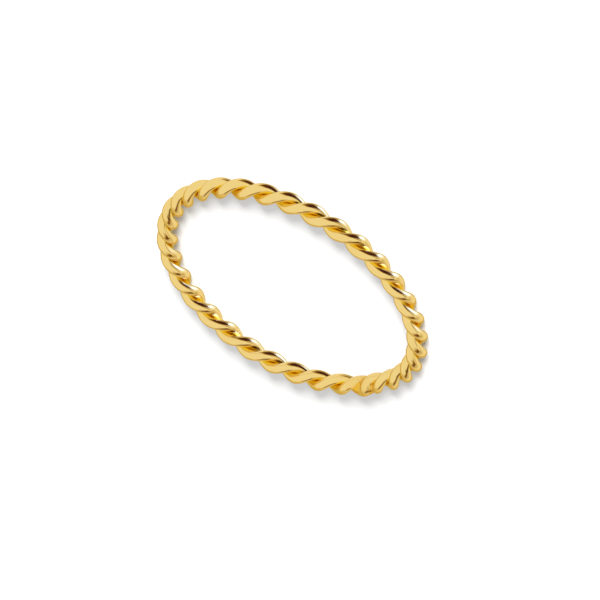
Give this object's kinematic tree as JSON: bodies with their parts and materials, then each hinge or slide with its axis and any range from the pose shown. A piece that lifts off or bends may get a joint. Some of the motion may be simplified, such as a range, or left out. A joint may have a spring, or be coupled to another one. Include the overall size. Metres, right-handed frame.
{
  "type": "twisted wire stacking ring",
  "caption": "Thin stacking ring of round polished gold wires twisted together like a rope and closed by a solder joint.",
  "frame": {"origin": "middle of the finger hole, on the surface that the ring lies on", "axes": "+Z along the finger hole, straight up from the surface; -Y towards the stretch that is nearest in the picture, with the solder joint at 146.5 degrees anticlockwise from +X seen from above"},
  "size_m": [0.0201, 0.0202, 0.0014],
  "materials": {
    "gold_wire": "polished yellow gold",
    "gold_solder": "polished gold solder"
  },
  "bodies": {
    "root": {"strand_a": "gold_wire", "strand_b": "gold_wire", "solder_joint": "gold_solder"}
  },
  "joints": []
}
